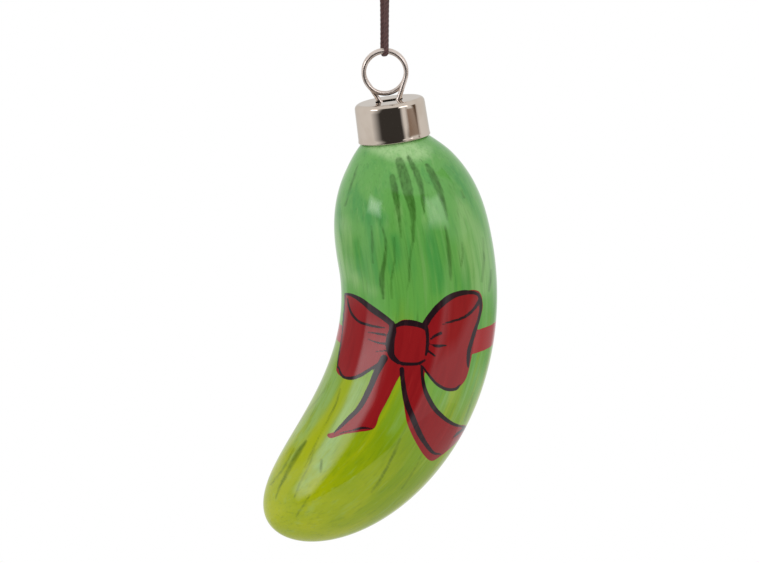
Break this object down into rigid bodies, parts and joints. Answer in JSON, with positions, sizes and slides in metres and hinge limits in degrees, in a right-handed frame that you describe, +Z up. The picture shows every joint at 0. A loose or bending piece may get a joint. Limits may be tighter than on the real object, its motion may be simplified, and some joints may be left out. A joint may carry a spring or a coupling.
{
  "type": "hanging pickle ornament",
  "caption": "Curved blown-glass pickle with a painted bow, a slotted metal cap, a sprung wire eye and a doubled cord loop that hangs it from a hook or branch.",
  "frame": {"origin": "where a hook or branch carries the cord's loop, just under the knot", "axes": "+Z up, +X to the right and +Y to the back as the ornament hangs with its bow to the front"},
  "size_m": [0.0543, 0.0362, 0.1483],
  "materials": {
    "painted_glass": "glossy, hand painted",
    "cap_metal": "polished",
    "hanger_wire": "polished",
    "brown_cord": "waxed"
  },
  "bodies": {
    "knot": {"cord_knot": "brown_cord"},
    "cord": {"hanging_cord": "brown_cord"},
    "hanger": {"hanger": "hanger_wire"},
    "cap": {"cap": "cap_metal"},
    "pickle": {"pickle_body": "painted_glass"}
  },
  "joints": [
    {"name": "front_swing", "type": "hinge", "parent": "knot", "child": "cord", "pos_m": [0, 0, 0], "axis": [1, 0, 0], "range_deg": [-60, 60]},
    {"name": "side_swing", "type": "hinge", "parent": "cord", "child": "hanger", "pos_m": [0, 0, -0.0289], "axis": [0, 1, 0], "range_deg": [-60, 60]},
    {"name": "ring_pull", "type": "slide", "parent": "hanger", "child": "cap", "axis": [0.1392, 0, -0.9903], "range_m": [0, 0.003]},
    {"name": "cap_pull", "type": "slide", "parent": "cap", "child": "pickle", "axis": [0.1392, 0, -0.9903], "range_m": [0, 0.02]}
  ]
}
